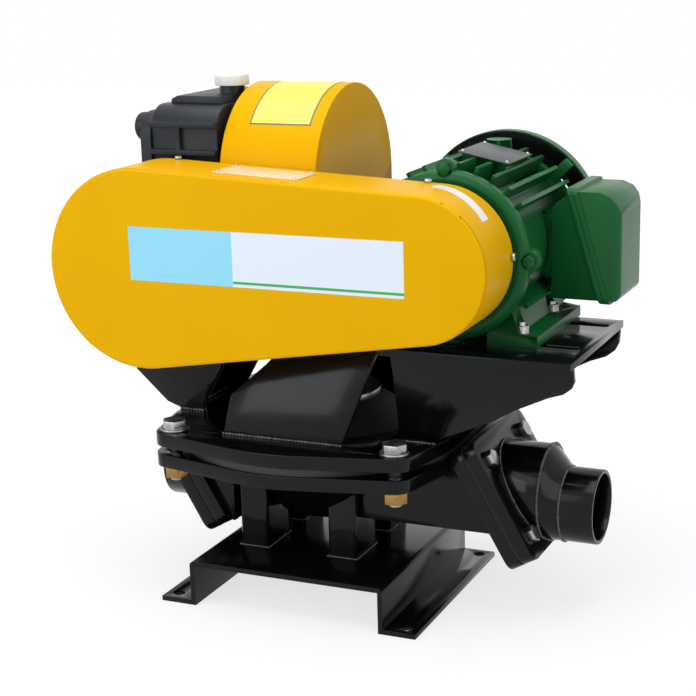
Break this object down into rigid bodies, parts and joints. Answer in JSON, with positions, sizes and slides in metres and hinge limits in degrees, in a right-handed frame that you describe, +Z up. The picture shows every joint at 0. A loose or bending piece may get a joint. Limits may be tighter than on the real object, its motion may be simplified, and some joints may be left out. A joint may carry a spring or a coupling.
{
  "type": "diaphragm pump",
  "caption": "Belt-driven diaphragm pump on a skid, with foot motor, worm gearbox, crank hood and inclined flap valves.",
  "frame": {"origin": "centre of the skid's four foot holes, on the floor", "axes": "+X from the suction port to the discharge port, +Y away from the belt guard, +Z up"},
  "size_m": [0.626, 0.3839, 0.6285],
  "materials": {
    "black_gloss": "gloss",
    "charcoal": "satin",
    "yellow_paint": "gloss",
    "green_paint": "semi-gloss",
    "zinc": "satin",
    "yellow_zinc": "satin",
    "bright_steel": "machined",
    "rubber_black": "matte",
    "cast_dark": "as cast",
    "bronze": "machined",
    "white_plastic": "matte",
    "black_plastic": "matte",
    "plate_metal": "satin"
  },
  "bodies": {
    "frame": {"skid": "black_gloss", "bowl": "black_gloss", "posts": "black_gloss", "lower_ring_plate": "black_gloss", "upper_ring_plate": "black_gloss", "ring_bolts": "zinc", "ring_nuts_washers": "yellow_zinc", "suction_seat_flange": "black_gloss", "suction_pipe": "black_gloss", "flange_gaskets": "rubber_black", "flap_hinge_pins": "bright_steel", "flange_bolts": "zinc", "suction_chamber_flange": "black_gloss", "suction_chamber": "black_gloss", "discharge_seat_flange": "black_gloss", "discharge_duct": "black_gloss", "discharge_pipe_flange": "black_gloss", "discharge_pipe": "black_gloss", "discharge_reducer": "black_gloss", "diaphragm": "rubber_black", "drive_deck": "black_gloss", "motor_platform": "black_gloss", "deck_braces": "black_gloss", "platform_skirts": "black_gloss", "gearbox_pedestal": "black_gloss", "gearbox_casing": "charcoal", "gearbox_cover": "charcoal", "gearbox_plugs": "charcoal", "gearbox_bearings": "bright_steel", "crank_hood": "yellow_paint", "motor_frame": "green_paint", "motor_front_shield": "green_paint", "motor_rear_shield": "green_paint", "motor_bearings": "bright_steel", "stator": "cast_dark", "fan_cowl": "green_paint", "terminal_box": "green_paint", "terminal_box_cover": "green_paint", "motor_foot_bolts": "zinc", "drive_belts": "rubber_black", "belt_guard": "yellow_paint", "guard_back_plate": "yellow_paint", "cover_screws": "zinc", "data_plates": "plate_metal"},
    "motor_rotor": {"rotor": "bright_steel", "cooling_fan": "black_plastic", "motor_pulley": "cast_dark"},
    "gearbox_input": {"worm_shaft": "bright_steel", "input_pulley": "cast_dark"},
    "crank": {"crankshaft": "bright_steel", "worm_wheel": "bronze"},
    "connecting_rod": {"connecting_rod": "cast_dark"},
    "plunger": {"plunger_fork": "bright_steel", "plunger_bolt": "zinc", "clamp_plates": "bright_steel"},
    "suction_flap": {"suction_flap": "rubber_black", "suction_flap_plate": "bright_steel"},
    "discharge_flap": {"discharge_flap": "rubber_black", "discharge_flap_plate": "bright_steel"},
    "filler_cap": {"filler_cap": "white_plastic"}
  },
  "joints": [
    {"name": "motor_spin", "type": "hinge", "parent": "frame", "child": "motor_rotor", "pos_m": [0.185, 0, 0.437], "axis": [0, 1, 0], "continuous": true},
    {"name": "input_spin", "type": "hinge", "parent": "frame", "child": "gearbox_input", "pos_m": [-0.15, 0, 0.422], "axis": [0, 1, 0], "continuous": true},
    {"name": "crank_spin", "type": "hinge", "parent": "frame", "child": "crank", "pos_m": [0, 0.0155, 0.507], "axis": [1, 0, 0], "continuous": true},
    {"name": "rod_orbit", "type": "hinge", "parent": "crank", "child": "connecting_rod", "pos_m": [0, 0.0155, 0.523], "axis": [1, 0, 0], "continuous": true},
    {"name": "plunger_stroke", "type": "slide", "parent": "frame", "child": "plunger", "axis": [0, 0, 1], "range_m": [-0.032, 0], "deforming": ["diaphragm"]},
    {"name": "suction_flap_swing", "type": "hinge", "parent": "frame", "child": "suction_flap", "pos_m": [-0.16794, 0.0155, 0.16728], "axis": [0, -1, 0], "range_deg": [0, 20]},
    {"name": "discharge_flap_swing", "type": "hinge", "parent": "frame", "child": "discharge_flap", "pos_m": [0.21826, 0.0155, 0.1882], "axis": [0, -1, 0], "range_deg": [0, 30]},
    {"name": "filler_cap_turn", "type": "hinge", "parent": "frame", "child": "filler_cap", "pos_m": [-0.112, 0, 0.61], "axis": [0, 0, 1], "range_deg": [0, 360]}
  ],
  "couplings": [
    {"joint": "input_spin", "follows": "motor_spin", "ratio": 0.5},
    {"joint": "crank_spin", "follows": "motor_spin", "ratio": 0.033333},
    {"joint": "rod_orbit", "follows": "motor_spin", "ratio": -0.033333}
  ]
}
